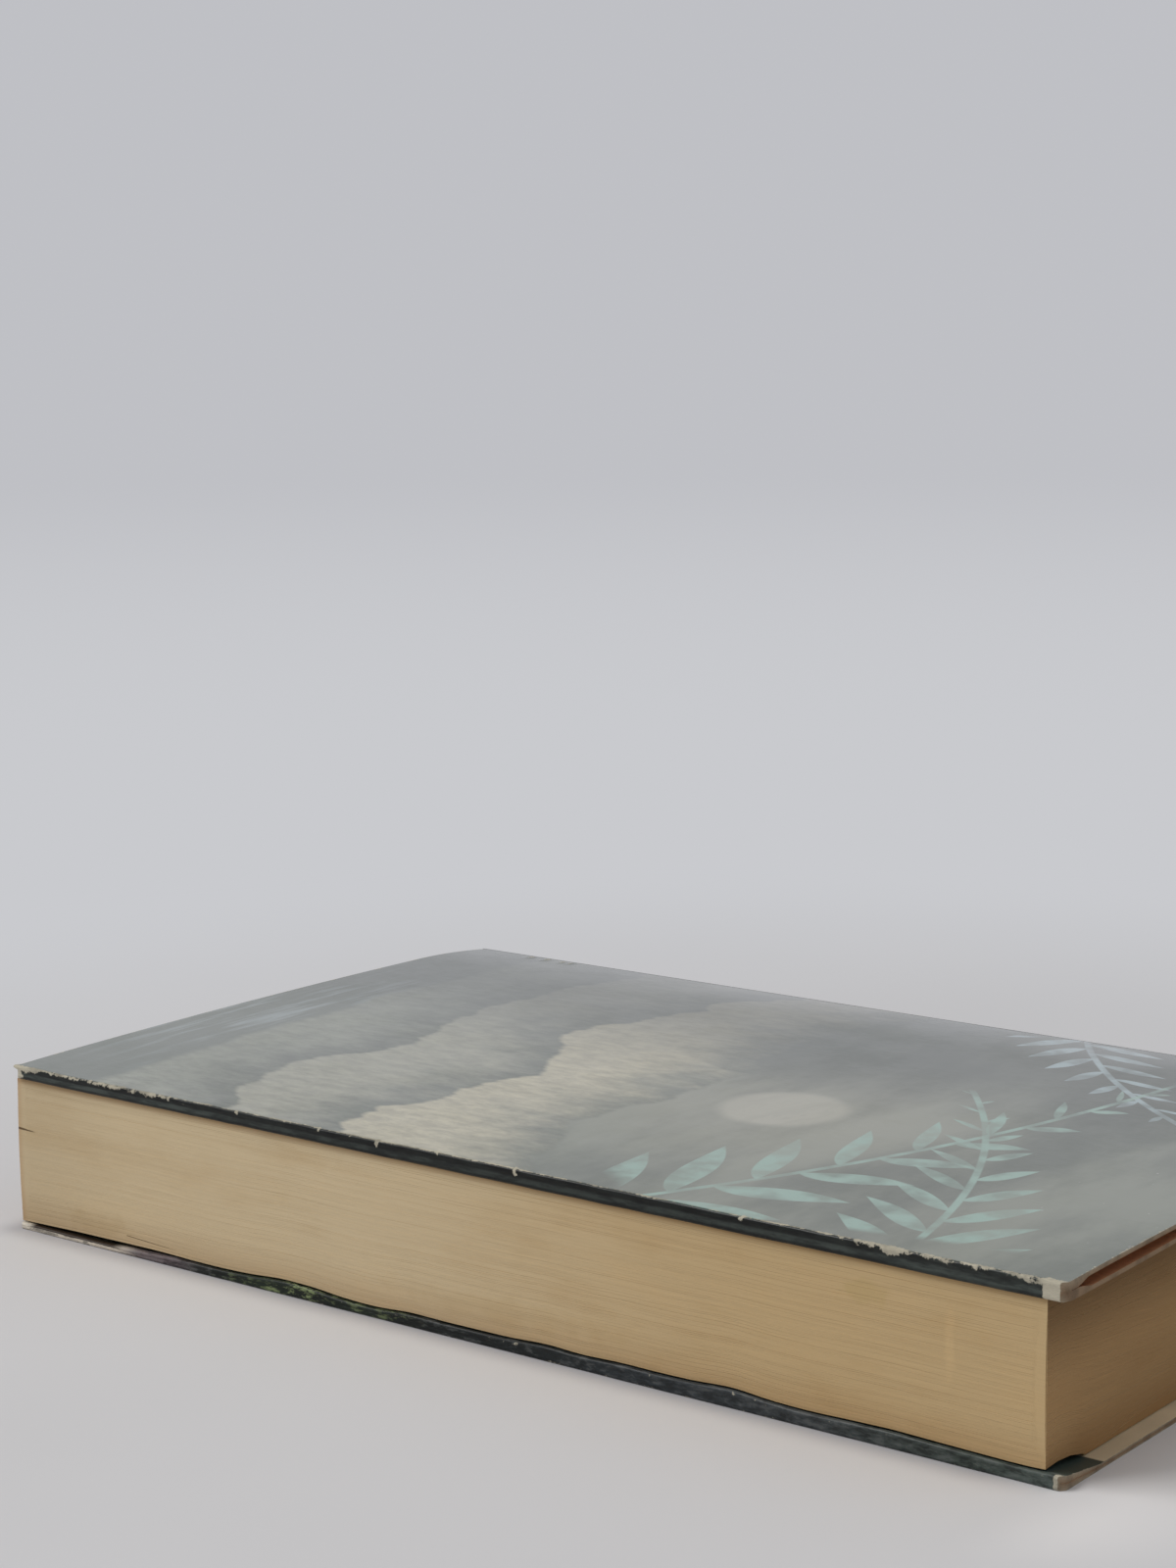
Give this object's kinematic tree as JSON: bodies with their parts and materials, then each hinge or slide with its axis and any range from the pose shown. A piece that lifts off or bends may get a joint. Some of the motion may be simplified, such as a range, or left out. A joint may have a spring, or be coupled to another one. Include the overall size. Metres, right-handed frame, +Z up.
{
  "type": "paperback book",
  "caption": "Thick paperback book lying on its back cover, with soft card covers that open and flaps folded in at the fore-edge.",
  "frame": {"origin": "on the surface that the book lies on, under the middle of its outline", "axes": "+X from tail to head along the spine, +Y from the fore-edge to the spine, +Z up out of the front cover"},
  "size_m": [0.198, 0.129, 0.0286],
  "materials": {
    "leaves": "matt, aged cream",
    "glue": "waxy hot-melt glue",
    "cover_card": "satin laminate, worn to cream at the folds"
  },
  "bodies": {
    "book": {"page_block": "leaves", "binding_glue": "glue", "spine_cover": "cover_card"},
    "front": {"front_cover": "cover_card"},
    "back": {"back_cover": "cover_card"}
  },
  "joints": [
    {"name": "front_cover_hinge", "type": "hinge", "parent": "book", "child": "front", "pos_m": [0, 0.05819, 0.02645], "axis": [-1, 0, 0], "range_deg": [0, 175]},
    {"name": "back_cover_hinge", "type": "hinge", "parent": "book", "child": "back", "pos_m": [0, 0.0582, 0], "axis": [1, 0, 0], "range_deg": [0, 175]}
  ]
}
